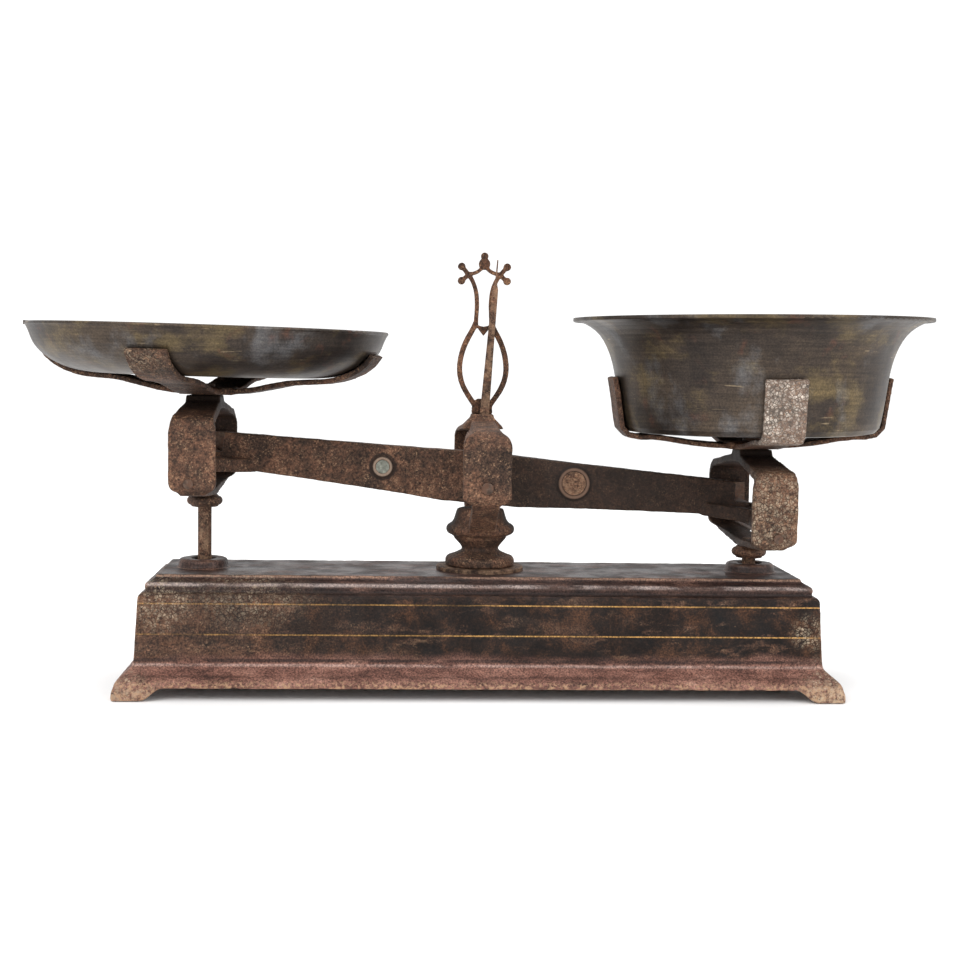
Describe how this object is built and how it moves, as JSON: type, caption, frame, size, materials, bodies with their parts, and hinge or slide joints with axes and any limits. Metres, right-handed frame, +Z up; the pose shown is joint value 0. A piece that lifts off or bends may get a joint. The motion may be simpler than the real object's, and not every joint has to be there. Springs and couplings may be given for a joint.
{
  "type": "counter balance scale",
  "caption": "Two-pan counter balance on a moulded plinth: a beam with hanging carriers, four-armed crosses, a dish, a deep bowl, a lyre indicator and a hidden counter-beam.",
  "frame": {"origin": "on the floor under the column's axis, at the middle of the plinth's length and depth", "axes": "+X along the beam to the bowl side, +Y to the back, +Z up"},
  "size_m": [0.5964, 0.2378, 0.287],
  "materials": {
    "base_paint": "old dark paint, worn to rusty cast iron at edges and feet",
    "iron": "brown pitted rust",
    "steel": "dull dark steel",
    "brass": "dark brown patina with olive and gold blotches",
    "lead": "dull grey lead"
  },
  "bodies": {
    "frame": {"base_casting": "base_paint", "column_seat": "iron", "column_fork": "iron", "column_washer": "iron", "column_nut": "iron", "lower_clevis": "iron", "lower_pivot_pin": "steel", "fork_bearing_front": "steel", "fork_bearing_rear": "steel", "fork_pin_front": "steel", "fork_pin_rear": "steel", "lyre": "iron", "lyre_screws": "steel"},
    "beam": {"beam": "iron", "centre_knife": "steel", "left_knife": "steel", "right_knife": "steel", "pointer": "iron", "pointer_screw": "steel", "lead_plug": "lead", "capacity_disc": "iron"},
    "left_carrier": {"left_carrier": "iron", "left_bearing_front": "steel", "left_bearing_rear": "steel", "left_keeper_pin": "steel", "left_collar": "iron", "left_stem": "iron", "left_cross": "iron", "left_cross_screw": "steel"},
    "right_carrier": {"right_carrier": "iron", "right_bearing_front": "steel", "right_bearing_rear": "steel", "right_keeper_pin": "steel", "right_collar": "iron", "right_stem": "iron", "right_cross": "iron", "right_cross_screw": "steel"},
    "dish": {"dish": "brass"},
    "bowl": {"bowl": "brass"},
    "counterbeam": {"counterbeam": "iron", "left_link_pin": "steel", "right_link_pin": "steel"}
  },
  "joints": [
    {"name": "beam_tilt", "type": "hinge", "parent": "frame", "child": "beam", "pos_m": [0, 0, 0.1385], "axis": [0, 1, 0], "range_deg": [-9.6, 0]},
    {"name": "left_carrier_swing", "type": "hinge", "parent": "beam", "child": "left_carrier", "pos_m": [-0.18286, 0, 0.15385], "axis": [0, 1, 0], "range_deg": [0, 9.6]},
    {"name": "right_carrier_swing", "type": "hinge", "parent": "beam", "child": "right_carrier", "pos_m": [0.18286, 0, 0.12315], "axis": [0, 1, 0], "range_deg": [0, 9.6]},
    {"name": "counterbeam_tilt", "type": "hinge", "parent": "frame", "child": "counterbeam", "pos_m": [0, 0, 0.041], "axis": [0, 1, 0], "range_deg": [-9.6, 0]},
    {"name": "dish_lift", "type": "slide", "parent": "left_carrier", "child": "dish", "axis": [0, 0, 1], "range_m": [0, 0.12]},
    {"name": "bowl_lift", "type": "slide", "parent": "right_carrier", "child": "bowl", "axis": [0, 0, 1], "range_m": [0, 0.15]}
  ],
  "couplings": [
    {"joint": "left_carrier_swing", "follows": "beam_tilt", "ratio": -1},
    {"joint": "right_carrier_swing", "follows": "beam_tilt", "ratio": -1},
    {"joint": "counterbeam_tilt", "follows": "beam_tilt", "ratio": 1}
  ]
}
